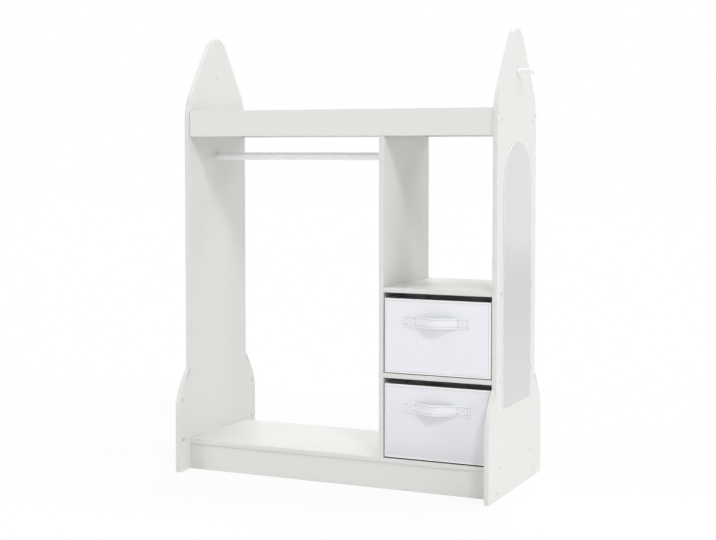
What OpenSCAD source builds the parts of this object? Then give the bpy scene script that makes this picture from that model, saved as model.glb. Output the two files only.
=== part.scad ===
// Child's dress-up storage unit: an open hanging bay on the left, a cubby over two
// pull-out fabric bins on the right, a tray on top and an arched mirror on one side.
// Flat-pack boards held by screws, dowels and cam locks.
// +X is to the right, +Y to the back, +Z up; the origin is on the floor, at the centre.

/* [Overall] */
// Width over the outer faces of the side panels
unit_w = 854; // [760:1:960]
// Front-to-back depth of the side panels, shelves and divider
panel_d = 300; // [285:1:330]
// Height of the pointed side panels
unit_h = 1130; // [1110:1:1160]
// Thickness of every board
board_t = 12; // [12:1:15]

/* [Side panels] */
// Height at which the sloping top would meet the straight edge
shoulder_z = 951; // [946:1:960]
// Radius that rounds the shoulder
shoulder_r = 130; // [90:1:150]
// Angle of the sloping top from upright
slope_angle = 34.4; // [32:0.1:36]
// Width of each foot fin, in front of and behind the panel
fin_w = 53; // [45:1:60]
// Height of the foot fins
fin_h = 264; // [240:1:280]
// Radius that rounds the shoulder of a fin
fin_r = 115; // [80:1:130]
// Angle of the sloping part of a fin from upright
fin_angle = 36; // [30:1:40]

/* [Shelves] */
// Height of the base board's upper face
base_z = 78; // [70:1:90]
// Clear height of each bin compartment
bin_bay_h = 198; // [190:1:215]
// Clear width of the bin compartments
bin_bay_w = 280; // [260:1:300]
// Height of the top shelf's upper face
top_z = 911; // [908:1:913]
// Height of the rails round the top shelf
rail_h = 66; // [60:1:72]
// Height of the rails' upper edge
rail_z = 934; // [932:1:936]
// How far the rails and kickboards stand back from the panels' edges
setback = 4; // [2:0.5:6]

/* [Fittings] */
// Diameter of the hanging rod
rod_d = 20; // [16:1:25]
// Height of the hanging rod's centre
rod_z = 817; // [780:1:830]
// Diameter of a coat peg
peg_d = 16; // [14:1:20]
// Length of a coat peg, rounded end and all
peg_l = 45; // [35:1:55]
// Height of the coat pegs
peg_z = 1025; // [1010:1:1040]
// Width of the mirror
mirror_w = 212; // [190:1:230]
// Height of the mirror's lower edge
mirror_z = 213; // [200:1:240]
// Height of the mirror's arched top
mirror_top = 854; // [820:1:870]
// Thickness of the mirror sheet
mirror_t = 2; // [1.5:0.5:3]

/* [Bins] */
// Width of a fabric bin
bin_w = 274; // [255:1:276]
// Depth of a fabric bin
bin_d = 280; // [260:1:300]
// Height of a fabric bin
bin_h = 184; // [170:1:186]
// Thickness of the walls: a board between two layers of fabric
bin_t = 4; // [3.5:0.5:5]
// Length of the handle strap, end to end
strap_l = 172; // [150:1:190]
// Width of the handle strap
strap_w = 26; // [22:1:34]
// How far the middle of the strap stands out
strap_bow = 21; // [18:1:28]

/* [Hidden] */
$fn = 64;
fit = 0.1;                       // play round screws, dowels and cams
inner_x = unit_w / 2 - board_t;  // inner faces of the side panels
side_y = panel_d / 2;            // front and back edges of the side panels
rail_y = side_y - setback;       // outer faces of the rails and kickboards
divider_x = inner_x - bin_bay_w - board_t / 2;
bin_x = inner_x - bin_bay_w / 2;
bin_shelf_z = base_z + bin_bay_h + board_t;
cubby_z = bin_shelf_z + bin_bay_h + board_t;
mid_t = board_t / 2;

screw_r = 2;
screw_l = 40;
short_screw_l = 30;
head_r = 4.8;
head_h = 2.4;
head_sink = 0.3;
screw_y = 118;                   // screws into the shelves' ends
rail_screw_y = rail_y - mid_t;
rail_screw_z = rail_z - 13;
rail_dowel_z = rail_z - 50;
kick_screw_z = 16;
kick_dowel_z = 50;
plug_z = rail_z - 48;            // screws through the rails into the divider
long_joint_y = 90;               // screws into the divider's top and bottom
dowel_r = 3;
dowel_l = 24;
dowel_in = 8;                    // how much of a dowel is in the side panel

cam_r = 6;
cam_h = 9;
cam_reach = 34;                  // from the panel's edge to the cam's centre
cam_z = [82, 186];
bolt_r = 3;
bolt_neck_r = 1.8;
bolt_head_r = 2.9;
bolt_thread_l = 11;
fin_dowel_z = 134;
fin_ledge = 4;

tape_t = 0.5;
tape_w = 24;
tape_y = 70;
tape_h = 420;

cover_t = 0.8;                   // each layer of a bin's fabric
insert_t = 2.5;
binding_h = 3;
bin_gap = 0.3;                   // between a bin and the shelf it stands on
bin_foot = 3;                    // how far the bin's walls stop above its bottom
foot_in = 2;                     // how far the bottom stands in from the walls
strap_t = 3.4;
strap_end_l = 33;                // sewn-down length at each end of the strap
strap_drop = 54;                 // from the bin's rim to the strap's centre
strap_steps = 32;

white_board = [0.94, 0.94, 0.92];
white_paint = [0.92, 0.92, 0.94];
steel = [0.66, 0.67, 0.68];
zinc = [0.55, 0.56, 0.58];
beech = [0.82, 0.68, 0.5];
glass = [0.82, 0.84, 0.86];
fabric = [0.9, 0.91, 0.94];
lining = [0.88, 0.89, 0.91];
board_grey = [0.62, 0.6, 0.56];
tape_grey = [0.5, 0.5, 0.5];

// ---- where the fasteners go: each spot is [point on the outer face, direction inwards]

both = [-1, 1];
right_in = [-1, 0, 0];
left_in = [1, 0, 0];

function shelf_spots(side, z) = [for (s = both) [[side * unit_w / 2, s * screw_y, z - mid_t], [-side, 0, 0]]];
function rail_spots(side, z) = [for (s = both) [[side * unit_w / 2, s * rail_screw_y, z], [-side, 0, 0]]];
function frame_spots(side) = concat(shelf_spots(side, base_z), shelf_spots(side, top_z),
    rail_spots(side, rail_screw_z), rail_spots(side, kick_screw_z));

left_spots = frame_spots(-1);
right_spots = concat(frame_spots(1), shelf_spots(1, bin_shelf_z), shelf_spots(1, cubby_z));
divider_spots = [for (z = [bin_shelf_z, cubby_z], s = both)
    [[divider_x - mid_t, s * screw_y, z - mid_t], left_in]];
divider_end_spots = concat(
    [for (s = both) [[divider_x, s * long_joint_y, top_z], [0, 0, -1]]],
    [for (s = both) [[divider_x, s * long_joint_y, base_z - board_t], [0, 0, 1]]]);
plug_spots = [for (s = both) [[divider_x, s * rail_y, plug_z], [0, -s, 0]]];
rod_spots = [[[-unit_w / 2, 0, rod_z], left_in], [[divider_x + mid_t, 0, rod_z], right_in]];
peg_spots = [for (s = both) [[s * inner_x, 0, peg_z], [s, 0, 0]]];
dowel_spots = [for (side = both, s = both, z = [rail_dowel_z, kick_dowel_z])
    [[side * (inner_x + dowel_in), s * rail_screw_y, z], [-side, 0, 0]]];
fin_dowel_spots = [for (side = both, s = both)
    [[side * (inner_x + mid_t), s * (side_y - dowel_l / 2), fin_dowel_z], [0, s, 0]]];

// Turns +Z to point along a direction
module aim(dir) rotate([0, acos(dir.z), atan2(dir.y, dir.x)]) children();

module at_spots(spots) for (spot = spots) translate(spot[0]) aim(spot[1]) children();

// ---- fasteners

module cross_recess() {
    for (turn = [0, 90]) rotate(turn) translate([-2.2, -0.5, -0.1]) cube([4.4, 1, 1.3]);
}

module screw(length) {
    translate([0, 0, head_sink]) difference() {
        union() {
            cylinder(h = head_h, r1 = head_r, r2 = screw_r);
            cylinder(h = length - 3, r = screw_r);
            translate([0, 0, length - 3]) cylinder(h = 3, r1 = screw_r, r2 = 0.5);
        }
        cross_recess();
    }
}

// The countersunk hole that a screw fills
module screw_hole(length) {
    translate([0, 0, -0.01]) cylinder(h = head_sink + 0.02, r = head_r + fit);
    translate([0, 0, head_sink]) cylinder(h = head_h, r1 = head_r + fit, r2 = screw_r + fit);
    cylinder(h = length + 1, r = screw_r + fit);
}

module dowel() cylinder(h = dowel_l, r = dowel_r);

module dowel_hole() translate([0, 0, -fit]) cylinder(h = dowel_l + 2 * fit, r = dowel_r + fit);

// The four fins are alike, so what is drawn behind the right panel is mirrored to the others
module mirrored(side, s) mirror([side < 0 ? 1 : 0, 0, 0]) mirror([0, s < 0 ? 1 : 0, 0]) children();

module every_corner() for (side = both, s = both) mirrored(side, s) children();

// The cam locks sit in the fins' inner faces and pull on bolts in the side panels' edges
module at_cams() {
    for (z = cam_z) translate([inner_x, side_y + cam_reach, z]) rotate([0, 90, 0]) children();
}

module at_bolts() {
    for (z = cam_z) translate([inner_x + mid_t, side_y + cam_reach, z]) rotate([90, 0, 0]) children();
}

module cam_lock() {
    difference() {
        cylinder(h = cam_h, r = cam_r - fit);
        translate([0, 0, mid_t]) rotate([90, 0, 0]) {
            cylinder(h = cam_r, r = bolt_neck_r + 2 * fit);
            cylinder(h = bolt_head_r + 4 * fit, r = bolt_head_r + fit, center = true);
        }
        cross_recess();
    }
}

module cam_hole() translate([0, 0, -1]) cylinder(h = cam_h + 1 + fit, r = cam_r);

module cam_bolt() {
    translate([0, 0, -bolt_head_r / 2]) cylinder(h = bolt_head_r, r = bolt_head_r);
    cylinder(h = cam_r + 1, r = bolt_neck_r);
    translate([0, 0, cam_r + 1]) cylinder(h = cam_reach - cam_r - 1, r = bolt_r);
    cylinder(h = cam_reach + bolt_thread_l, r = screw_r);
}

module cam_bolt_hole() {
    cylinder(h = cam_reach + 2 * fit, r = bolt_r + fit);
    cylinder(h = cam_reach + bolt_thread_l + fit, r = screw_r + fit);
}

// ---- boards

// Outline of a side panel: straight edges, rounded shoulders, a rounded tip
module side_outline() {
    lean = [sin(slope_angle), cos(slope_angle)];
    apex_z = shoulder_z + side_y / tan(slope_angle);
    tip_r = (apex_z - unit_h) / (1 / sin(slope_angle) - 1);
    tip_z = unit_h - tip_r;
    run = shoulder_r * tan(slope_angle / 2);
    foot = shoulder_z - run;
    slope_start = [side_y - run * lean.x, shoulder_z + run * lean.y];
    slope_end = [tip_r * lean.y, tip_z + tip_r * lean.x];
    translate([0, tip_z]) circle(r = tip_r);
    for (s = both) scale([s, 1]) {
        translate([side_y - shoulder_r, foot]) circle(r = shoulder_r);
        polygon([[-1, 0], [side_y, 0], [side_y, foot], slope_start, slope_end, [-1, tip_z]]);
    }
}

// Outline of a foot fin, from the side panel's edge outwards
module fin_outline() {
    outer = fin_w;
    corner_z = fin_h - (fin_w - fin_ledge) / tan(fin_angle);
    run = fin_r * tan(fin_angle / 2);
    foot = corner_z - run;
    intersection() {
        union() {
            polygon([[0, 0], [outer, 0], [outer, foot],
                [outer - run * sin(fin_angle), corner_z + run * cos(fin_angle)],
                [fin_ledge, fin_h], [0, fin_h]]);
            translate([outer - fin_r, foot]) circle(r = fin_r);
        }
        square([outer, fin_h]);
    }
}

// Stands an outline drawn in depth and height up as a board whose inner face is at x
module upright(x, t) translate([x, 0, 0]) rotate([90, 0, 90]) linear_extrude(t) children();

module side_panel(side, spots) {
    color(white_board) difference() {
        upright(side > 0 ? inner_x : -unit_w / 2, board_t) side_outline();
        at_spots(spots) screw_hole(screw_l);
        at_spots(peg_spots) screw_hole(short_screw_l);
        at_spots(side < 0 ? [rod_spots[0]] : []) screw_hole(screw_l);
        at_spots(dowel_spots) dowel_hole();
        at_spots(fin_dowel_spots) dowel_hole();
        every_corner() at_bolts() cam_bolt_hole();
    }
}

module fin(side, s) {
    color(white_board) difference() {
        mirrored(side, s) difference() {
            upright(inner_x, board_t) translate([side_y, 0]) fin_outline();
            at_cams() cam_hole();
            at_bolts() cam_bolt_hole();
        }
        at_spots(fin_dowel_spots) dowel_hole();
    }
}

// A level board: x range, y range and the height of its upper face
module level_board(x0, x1, y0, y1, z) {
    translate([x0, y0, z - board_t]) cube([x1 - x0, y1 - y0, board_t]);
}

module left_side_panel() side_panel(-1, left_spots);

module right_side_panel() side_panel(1, right_spots);

module left_front_fin() fin(-1, -1);

module left_rear_fin() fin(-1, 1);

module right_front_fin() fin(1, -1);

module right_rear_fin() fin(1, 1);

// The divider's upper corners are cut away to clear the two rails
module divider_panel() {
    notch_y = rail_y - board_t;
    notch_z = rail_z - rail_h;
    color(white_board) difference() {
        translate([divider_x - mid_t, -side_y, base_z])
            cube([board_t, panel_d, top_z - board_t - base_z]);
        for (y = [-side_y - notch_y, notch_y]) translate([divider_x - board_t, y, notch_z])
            cube([2 * board_t, side_y, rail_h]);
        at_spots(divider_spots) screw_hole(screw_l);
        at_spots(divider_end_spots) screw_hole(screw_l);
        at_spots(plug_spots) screw_hole(screw_l);
        at_spots([rod_spots[1]]) screw_hole(screw_l);
    }
}

module base_board() {
    color(white_board) difference() {
        level_board(-inner_x, inner_x, -side_y, side_y, base_z);
        at_spots(concat(left_spots, right_spots, divider_end_spots)) screw_hole(screw_l);
    }
}

module top_shelf() {
    color(white_board) difference() {
        level_board(-inner_x, inner_x, -rail_y + board_t, rail_y - board_t, top_z);
        at_spots(concat(left_spots, right_spots, divider_end_spots)) screw_hole(screw_l);
    }
}

module right_bay_shelf(z) {
    color(white_board) difference() {
        level_board(inner_x - bin_bay_w, inner_x, -side_y, side_y, z);
        at_spots(concat(right_spots, divider_spots)) screw_hole(screw_l);
    }
}

module bin_shelf() right_bay_shelf(bin_shelf_z);

module cubby_shelf() right_bay_shelf(cubby_z);

// A long board on edge, s = -1 in front and 1 behind
module edge_board(s, z, h) {
    color(white_board) difference() {
        translate([-inner_x, s * (rail_y - mid_t) - mid_t, z]) cube([2 * inner_x, board_t, h]);
        at_spots(concat(left_spots, right_spots, plug_spots)) screw_hole(screw_l);
        at_spots(dowel_spots) dowel_hole();
    }
}

module front_kickboard() edge_board(-1, 0, base_z - board_t);

module rear_kickboard() edge_board(1, 0, base_z - board_t);

module front_top_rail() edge_board(-1, rail_z - rail_h, rail_h);

module rear_top_rail() edge_board(1, rail_z - rail_h, rail_h);

// ---- rod, pegs and mirror

module hanging_rod() {
    color(white_paint) difference() {
        translate([-inner_x, 0, rod_z]) rotate([0, 90, 0])
            cylinder(h = divider_x - mid_t + inner_x, d = rod_d);
        at_spots(rod_spots) screw_hole(screw_l);
    }
}

// A peg is turned with a rounded free end
module coat_peg(side) {
    round_r = 3;
    core_r = peg_d / 2 - round_r;
    color(white_paint) difference() {
        translate([side * unit_w / 2, 0, peg_z]) aim([side, 0, 0]) rotate_extrude() {
            square([core_r, peg_l]);
            square([peg_d / 2, peg_l - round_r]);
            translate([core_r, peg_l - round_r]) circle(r = round_r);
        }
        at_spots(peg_spots) screw_hole(short_screw_l);
    }
}

module left_coat_peg() coat_peg(-1);

module right_coat_peg() coat_peg(1);

module arched_mirror() {
    color(glass) upright(unit_w / 2 + tape_t, mirror_t) {
        translate([-mirror_w / 2, mirror_z]) square([mirror_w, mirror_top - mirror_w / 2 - mirror_z]);
        translate([0, mirror_top - mirror_w / 2]) circle(d = mirror_w);
    }
}

module mirror_tape() {
    color(tape_grey) for (s = both)
        upright(unit_w / 2, tape_t)
            translate([s * tape_y - tape_w / 2, mirror_z + 60]) square([tape_w, tape_h]);
}

// ---- fabric bins, drawn with the shelf they stand on at height z

// A box standing on z1, centred on a bin's middle, whose walls stand in from the bin's by inset
module bin_block(inset, z1, h) {
    translate([bin_x - bin_w / 2 + inset, -side_y + inset, z1])
        cube([bin_w - 2 * inset, bin_d - 2 * inset, h]);
}

// Four boards inside the walls, or with play, the pockets that hold them
module bin_boards(z, play) {
    corner = bin_t + 1;
    foot_z = z + bin_gap + bin_foot + 2 * cover_t;
    board_h = z + bin_gap + bin_h - binding_h - foot_z;
    thick = bin_t - 2 * cover_t;
    for (y = [-side_y + bin_t / 2, -side_y + bin_d - bin_t / 2])
        translate([bin_x - bin_w / 2 + corner - play, y - thick / 2 - play, foot_z - play])
            cube([bin_w - 2 * corner + 2 * play, thick + 2 * play, board_h + 2 * play]);
    for (x = [bin_x - (bin_w - bin_t) / 2, bin_x + (bin_w - bin_t) / 2])
        translate([x - thick / 2 - play, -side_y + corner - play, foot_z - play])
            cube([thick + 2 * play, bin_d - 2 * corner + 2 * play, board_h + 2 * play]);
}

// A fabric cover sewn as one open box, its bottom drawn in a little under the walls
module bin_cover(z) {
    foot_z = z + bin_gap;
    color(fabric) difference() {
        union() {
            bin_block(0, foot_z + bin_foot, bin_h - bin_foot - binding_h);
            bin_block(foot_in, foot_z, bin_foot + 1);
        }
        bin_block(bin_t, foot_z + bin_foot + cover_t, bin_h);
        bin_boards(z, fit);
    }
}

module bin_rim_binding(z) {
    rim_z = z + bin_gap + bin_h - binding_h;
    color(fabric) difference() {
        bin_block(0, rim_z, binding_h);
        bin_block(bin_t, rim_z - 1, binding_h + 2);
    }
}

module bin_bottom_insert(z) {
    color(lining) bin_block(bin_t + 1, z + bin_gap + bin_foot + cover_t, insert_t);
}

// How far the strap's inner face stands out from the bin, at u from 0 to 1 along its free part
function strap_out(u) = strap_bow * (1 - pow(abs(2 * u - 1), 1.8));

module bin_handle(z) {
    free_l = strap_l - 2 * strap_end_l;
    inner = [for (i = [0:strap_steps]) [-free_l / 2 + free_l * i / strap_steps, -strap_out(i / strap_steps)]];
    outline = concat([[-strap_l / 2, 0]], inner, [[strap_l / 2, 0], [strap_l / 2, -strap_t]],
        [for (i = [strap_steps:-1:0]) inner[i] - [0, strap_t]], [[-strap_l / 2, -strap_t]]);
    color(fabric) translate([bin_x, -side_y, z + bin_gap + bin_h - strap_drop - strap_w / 2])
        linear_extrude(strap_w) polygon(outline);
}

module upper_bin_cover() bin_cover(bin_shelf_z);

module upper_bin_wall_boards() color(board_grey) bin_boards(bin_shelf_z, 0);

module upper_bin_rim_binding() bin_rim_binding(bin_shelf_z);

module upper_bin_bottom_insert() bin_bottom_insert(bin_shelf_z);

module upper_bin_handle() bin_handle(bin_shelf_z);

module lower_bin_cover() bin_cover(base_z);

module lower_bin_wall_boards() color(board_grey) bin_boards(base_z, 0);

module lower_bin_rim_binding() bin_rim_binding(base_z);

module lower_bin_bottom_insert() bin_bottom_insert(base_z);

module lower_bin_handle() bin_handle(base_z);

// ---- groups of fasteners

module left_side_screws() color(steel) at_spots(left_spots) screw(screw_l);

module right_side_screws() color(steel) at_spots(right_spots) screw(screw_l);

module divider_screws() color(steel) at_spots(divider_spots) screw(screw_l);

module divider_end_screws() color(steel) at_spots(divider_end_spots) screw(screw_l);

module rail_screws() color(steel) at_spots(plug_spots) screw(screw_l);

module rod_screws() color(steel) at_spots(rod_spots) screw(screw_l);

module peg_screws() color(steel) at_spots(peg_spots) screw(short_screw_l);

module fin_cam_locks() color(zinc) every_corner() at_cams() cam_lock();

module fin_cam_bolts() color(steel) every_corner() at_bolts() cam_bolt();

module fin_dowels() color(beech) at_spots(fin_dowel_spots) dowel();

module rail_dowels() color(beech) at_spots(dowel_spots) dowel();

left_side_panel();
right_side_panel();
left_front_fin();
left_rear_fin();
right_front_fin();
right_rear_fin();
divider_panel();
base_board();
front_kickboard();
rear_kickboard();
bin_shelf();
cubby_shelf();
top_shelf();
front_top_rail();
rear_top_rail();
hanging_rod();
left_coat_peg();
right_coat_peg();
arched_mirror();
mirror_tape();
left_side_screws();
right_side_screws();
divider_screws();
divider_end_screws();
rail_screws();
rod_screws();
peg_screws();
fin_cam_locks();
fin_cam_bolts();
fin_dowels();
rail_dowels();
upper_bin_cover();
upper_bin_wall_boards();
upper_bin_rim_binding();
upper_bin_bottom_insert();
upper_bin_handle();
lower_bin_cover();
lower_bin_wall_boards();
lower_bin_rim_binding();
lower_bin_bottom_insert();
lower_bin_handle();
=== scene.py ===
import math
import bmesh
import bpy
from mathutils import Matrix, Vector, noise


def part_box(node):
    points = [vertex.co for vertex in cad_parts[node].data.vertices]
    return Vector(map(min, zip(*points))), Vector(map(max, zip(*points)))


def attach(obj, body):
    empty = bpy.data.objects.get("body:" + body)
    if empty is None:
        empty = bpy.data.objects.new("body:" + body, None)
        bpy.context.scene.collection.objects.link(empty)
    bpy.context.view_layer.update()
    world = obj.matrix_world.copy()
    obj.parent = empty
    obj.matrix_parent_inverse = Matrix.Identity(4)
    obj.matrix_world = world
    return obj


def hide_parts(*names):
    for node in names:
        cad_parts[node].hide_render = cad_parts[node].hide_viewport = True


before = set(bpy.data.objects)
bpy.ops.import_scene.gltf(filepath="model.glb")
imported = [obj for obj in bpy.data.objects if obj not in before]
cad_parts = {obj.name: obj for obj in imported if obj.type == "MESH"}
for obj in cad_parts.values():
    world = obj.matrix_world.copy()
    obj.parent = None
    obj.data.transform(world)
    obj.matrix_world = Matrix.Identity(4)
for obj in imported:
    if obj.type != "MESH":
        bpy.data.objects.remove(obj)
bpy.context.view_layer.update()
mm = 0.001
scene = bpy.context.scene

# the camera stands in the photo's place and looks slightly down, with part of its lens shift
viewpoint = {
    "place": (1.5151, -3.3335, 0.8343),
    "turn": 24.46,  # degrees round to the right of the front
    "dip": 2.824,  # degrees below level
    "lens": 71.62,
    "sensor": 36,
    "shift": -0.07,
}
lens = bpy.data.cameras.new("camera")
lens.lens = viewpoint["lens"]
lens.sensor_width = viewpoint["sensor"]
lens.shift_y = viewpoint["shift"]
camera = bpy.data.objects.new("camera", lens)
camera.location = viewpoint["place"]
camera.rotation_euler = (math.radians(90 - viewpoint["dip"]), 0, math.radians(viewpoint["turn"]))
scene.collection.objects.link(camera)
scene.camera = camera
scene.view_settings.view_transform = "Standard"
print("camera placed")


def operator(operation, swapped=False):
    def apply(self, other):
        return self.web.maths(operation, *((other, self) if swapped else (self, other)))
    return apply


class Flow:
    # one socket of a node tree, wrapped so that node maths reads as a plain expression
    def __init__(self, web, socket):
        self.web, self.socket = web, socket

    __add__, __radd__ = operator("ADD"), operator("ADD", True)
    __sub__, __rsub__ = operator("SUBTRACT"), operator("SUBTRACT", True)
    __mul__, __rmul__ = operator("MULTIPLY"), operator("MULTIPLY", True)
    __truediv__, __rtruediv__ = operator("DIVIDE"), operator("DIVIDE", True)


class Web:
    # one node tree; every node in it comes from node()
    def __init__(self, tree):
        self.tree = tree
        tree.nodes.clear()

    def node(self, kind, settings=None, sockets=None, out=0):
        # a list in sockets holds several links into one socket
        made = self.tree.nodes.new(kind)
        for name, value in (settings or {}).items():
            setattr(made, name, value)
        for name, value in (sockets or {}).items():
            for each in value if isinstance(value, list) else [value]:
                if isinstance(each, Flow):
                    self.tree.links.new(each.socket, made.inputs[name])
                else:
                    made.inputs[name].default_value = each
        return Flow(self, made.outputs[out]) if made.outputs else None

    def maths(self, operation, *values):
        return self.node("ShaderNodeMath", {"operation": operation}, dict(enumerate(values)))

    def distance(self, x, y):
        return self.maths("SQRT", x * x + y * y)

    def ripple(self, value, pitch):
        # swings between 0 and 1, once in each pitch
        return self.maths("SINE", value * (2 * math.pi / pitch)) * 0.5 + 0.5

    def parts(self, vector):
        return [self.node("ShaderNodeSeparateXYZ", {}, {0: vector}, out) for out in range(3)]

    def joined(self, x=0.0, y=0.0, z=0.0):
        return self.node("ShaderNodeCombineXYZ", {}, {0: x, 1: y, 2: z})

    def divided(self, vector, pitch):
        return self.node("ShaderNodeVectorMath", {"operation": "DIVIDE"}, {0: vector, 1: (pitch,) * 3})

    def stretched(self, vector, scale, turn=0.0):
        sockets = {"Vector": vector, "Rotation": (0, 0, turn), "Scale": scale}
        return self.node("ShaderNodeMapping", {}, sockets)

    def ramp(self, value, low, high, kind="LINEAR"):
        sockets = {"Value": value, "From Min": low, "From Max": high}
        return self.node("ShaderNodeMapRange", {"interpolation_type": kind}, sockets)

    def smooth(self, value, low, high):
        return self.ramp(value, low, high, "SMOOTHSTEP")

    def near(self, value, centre, low, high):
        # 1 close to a value, 0 from high away
        return 1 - self.smooth(self.maths("ABSOLUTE", value - centre), low, high)

    def noise(self, place, scale, detail=2.0, roughness=0.5):
        sockets = {"Vector": place, "Scale": scale, "Detail": detail, "Roughness": roughness}
        return self.node("ShaderNodeTexNoise", {}, sockets)

    def colours(self, first, second, share):
        first, second = [c if isinstance(c, Flow) else (*c, 1) for c in (first, second)]
        return self.node("ShaderNodeMix", {"data_type": "RGBA"}, {0: share, 6: first, 7: second}, 2)

    def dimmed(self, values, share):
        # a finish's colour, multiplied by its dark factor where share is 1
        return self.colours(values["colour"], [c * values["dark"] for c in values["colour"]], share)

    def cornerLight(self, reach):
        # 1 in the open, less where other surfaces stand within reach
        return self.node("ShaderNodeAmbientOcclusion", {"samples": 8}, {"Distance": reach}, 1)

    def place(self):
        return self.node("ShaderNodeTexCoord", out=3)

    def attribute(self, name, out=1):
        return self.node("ShaderNodeAttribute", {"attribute_name": name}, out=out)

    def solid(self, values, colour, roughness, relief):
        # a surface with a relief as its bump, and the finish's own plain sockets
        distance, strength = values["relief"]
        bump = self.node("ShaderNodeBump", {}, {"Height": relief, "Distance": distance, "Strength": strength})
        sockets = {"Base Color": colour, "Roughness": roughness, "Normal": bump}
        return self.node("ShaderNodeBsdfPrincipled", {}, {**sockets, **values.get("sockets", {})})

    def moved(self, geometry, x=0.0, y=0.0, z=0.0, turn=(0, 0, 0)):
        sockets = {"Geometry": geometry, "Translation": self.joined(x, y, z), "Rotation": turn}
        return self.node("GeometryNodeTransform", {}, sockets)

    def kept(self, geometry, name, value):
        # stores a value on each point, for a finish to read
        settings = {"data_type": "FLOAT_VECTOR", "domain": "POINT"}
        sockets = {0: geometry, "Name": name, "Value": value}
        return self.node("GeometryNodeStoreNamedAttribute", settings, sockets)


def finish(name, surface, values):
    # a material whose surface comes from a function of the finish's own values
    material = bpy.data.materials.new(name)
    material.use_nodes = True
    web = Web(material.node_tree)
    web.node("ShaderNodeOutputMaterial", {}, {"Surface": surface(web, values)})
    material.diffuse_color = (*values["colour"], 1)
    return material


# in a finish a noise is its scale, detail and roughness, relief is its bump's depth and
# strength, and dark is the factor for its colour in the darkest marks

# warm white melamine: a fine pebble, faint clouds, the edge band's glue line near each edge, and painted
# shade that darkens its corners
boardFinish = {
    "colour": (0.815, 0.809, 0.79),
    "dark": 0.985,
    "cloud": (4.0, 3.0),
    "patch": (35.0, 2.0),
    "pebble": (900.0, 1.0),
    "relief": (0.02 * mm, 0.6),
    "gloss": 0.38,
    "patchGloss": 0.08,
    "band": 0.55 * mm,
    "bandBlend": 0.1 * mm,
    "bandColour": (0.775, 0.769, 0.752),
    "glueLine": (0.03 * mm, 0.12 * mm),
    "glueColour": (0.68, 0.67, 0.64),
    "glueShare": 0.35,
    "rubWidth": 1.2 * mm,  # edges are rubbed this far in, in patches
    "rubPatch": (0.55, 0.75),
    "rubDark": 0.9,
    "rubShare": 0.5,
    "rubGloss": 0.1,
    # painted shade in corners: how far it looks for nearby surfaces, and how dark it gets
    "cornerReach": 90 * mm,
    "cornerGrey": 0.4,
    "floorBright": (40 * mm, 300 * mm),  # the painted corner shade is off below the first height and full above the second
    "sockets": {"Specular IOR Level": 0.45},
}


def boardSurface(web, values):
    place = web.place()
    height, edge = web.parts(place)[2], web.attribute("edgeDistance", 2)
    cloud, patch, pebble = [web.noise(place, *values[name]) for name in ("cloud", "patch", "pebble")]
    onBand = 1 - web.smooth(edge, values["band"] - values["bandBlend"], values["band"])
    glue = web.near(edge, values["band"], *values["glueLine"]) * values["glueShare"]
    rub = (1 - web.smooth(edge, 0.0, values["rubWidth"])) * web.smooth(patch, *values["rubPatch"])
    # painted shade: the colour darkens where other surfaces stand close, as shade falls in corners, and is
    # held back near the floor
    hidden = 1 - web.cornerLight(values["cornerReach"])
    grey = web.smooth(height, *values["floorBright"]) * values["cornerGrey"]
    colour = web.colours(web.dimmed(values, cloud), values["bandColour"], onBand)
    colour = web.colours(colour, values["glueColour"], glue)
    rubbed = [c * values["rubDark"] for c in values["bandColour"]]
    colour = web.colours(colour, rubbed, rub * values["rubShare"])
    colour = web.colours(colour, (0, 0, 0), hidden * hidden * grey)
    roughness = values["gloss"] + (patch - 0.5) * values["patchGloss"] + rub * values["rubGloss"]
    return web.solid(values, colour, roughness, pebble)


# white paint on turned wood: brushed slightly along the grain, over faint grain lines
paintFinish = {
    "colour": (0.975, 0.98, 0.99),
    "dark": 0.99,
    "stretch": (0.04, 1, 1),
    "grain": (900.0, 3.0, 0.6),
    "brush": (260.0, 2.0),
    "lines": (0.45, 0.8),
    "grainShare": 0.6,  # of the relief; the brush marks have the rest
    "relief": (0.008 * mm, 0.5),
    "gloss": 0.3,
    "dapple": (60.0, 2.0),
    "dappleGloss": 0.14,
    "sockets": {"Specular IOR Level": 1.0, "Coat Weight": 1.0, "Coat Roughness": 0.12},
}


def paintSurface(web, values):
    along = web.stretched(web.place(), values["stretch"])
    grain, brush = web.noise(along, *values["grain"]), web.noise(along, *values["brush"])
    dapple = web.noise(web.place(), *values["dapple"]) - 0.5
    relief = grain * values["grainShare"] + brush * (1 - values["grainShare"])
    colour = web.dimmed(values, web.smooth(grain, *values["lines"]))
    return web.solid(values, colour, values["gloss"] + dapple * values["dappleGloss"], relief)


# silvered acrylic: bright, a touch uneven, with a hint of haze and wiping marks
mirrorFinish = {
    "colour": (0.72, 0.72, 0.722),
    "dark": 0.97,
    "wave": (6.0, 1.0),
    "relief": (0.05 * mm, 0.4),
    "haze": 0.012,
    "wipe": (120.0, 2.0),
    "wipeStretch": (1, 0.25, 1),
    "wipeMarks": (0.6, 0.8),
    "wipeHaze": 0.02,
    "sockets": {"Metallic": 1.0},
}


def mirrorSurface(web, values):
    wave = web.noise(web.place(), *values["wave"])
    wipe = web.noise(web.stretched(web.place(), values["wipeStretch"]), *values["wipe"])
    haze = values["haze"] + web.smooth(wipe, *values["wipeMarks"]) * values["wipeHaze"]
    return web.solid(values, web.dimmed(values, wave), haze, wave)


# zinc-plated steel: turned rings round each head's centre, dulled in patches
steelFinish = {
    "colour": (0.78, 0.78, 0.785),
    "dark": 0.85,
    "stain": (500.0, 3.0),
    "gloss": 0.28,
    "stainGloss": 0.15,
    "ringPitch": 0.22 * mm,
    "relief": (0.02 * mm, 0.35),
    "sockets": {"Metallic": 1.0},
}


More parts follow.
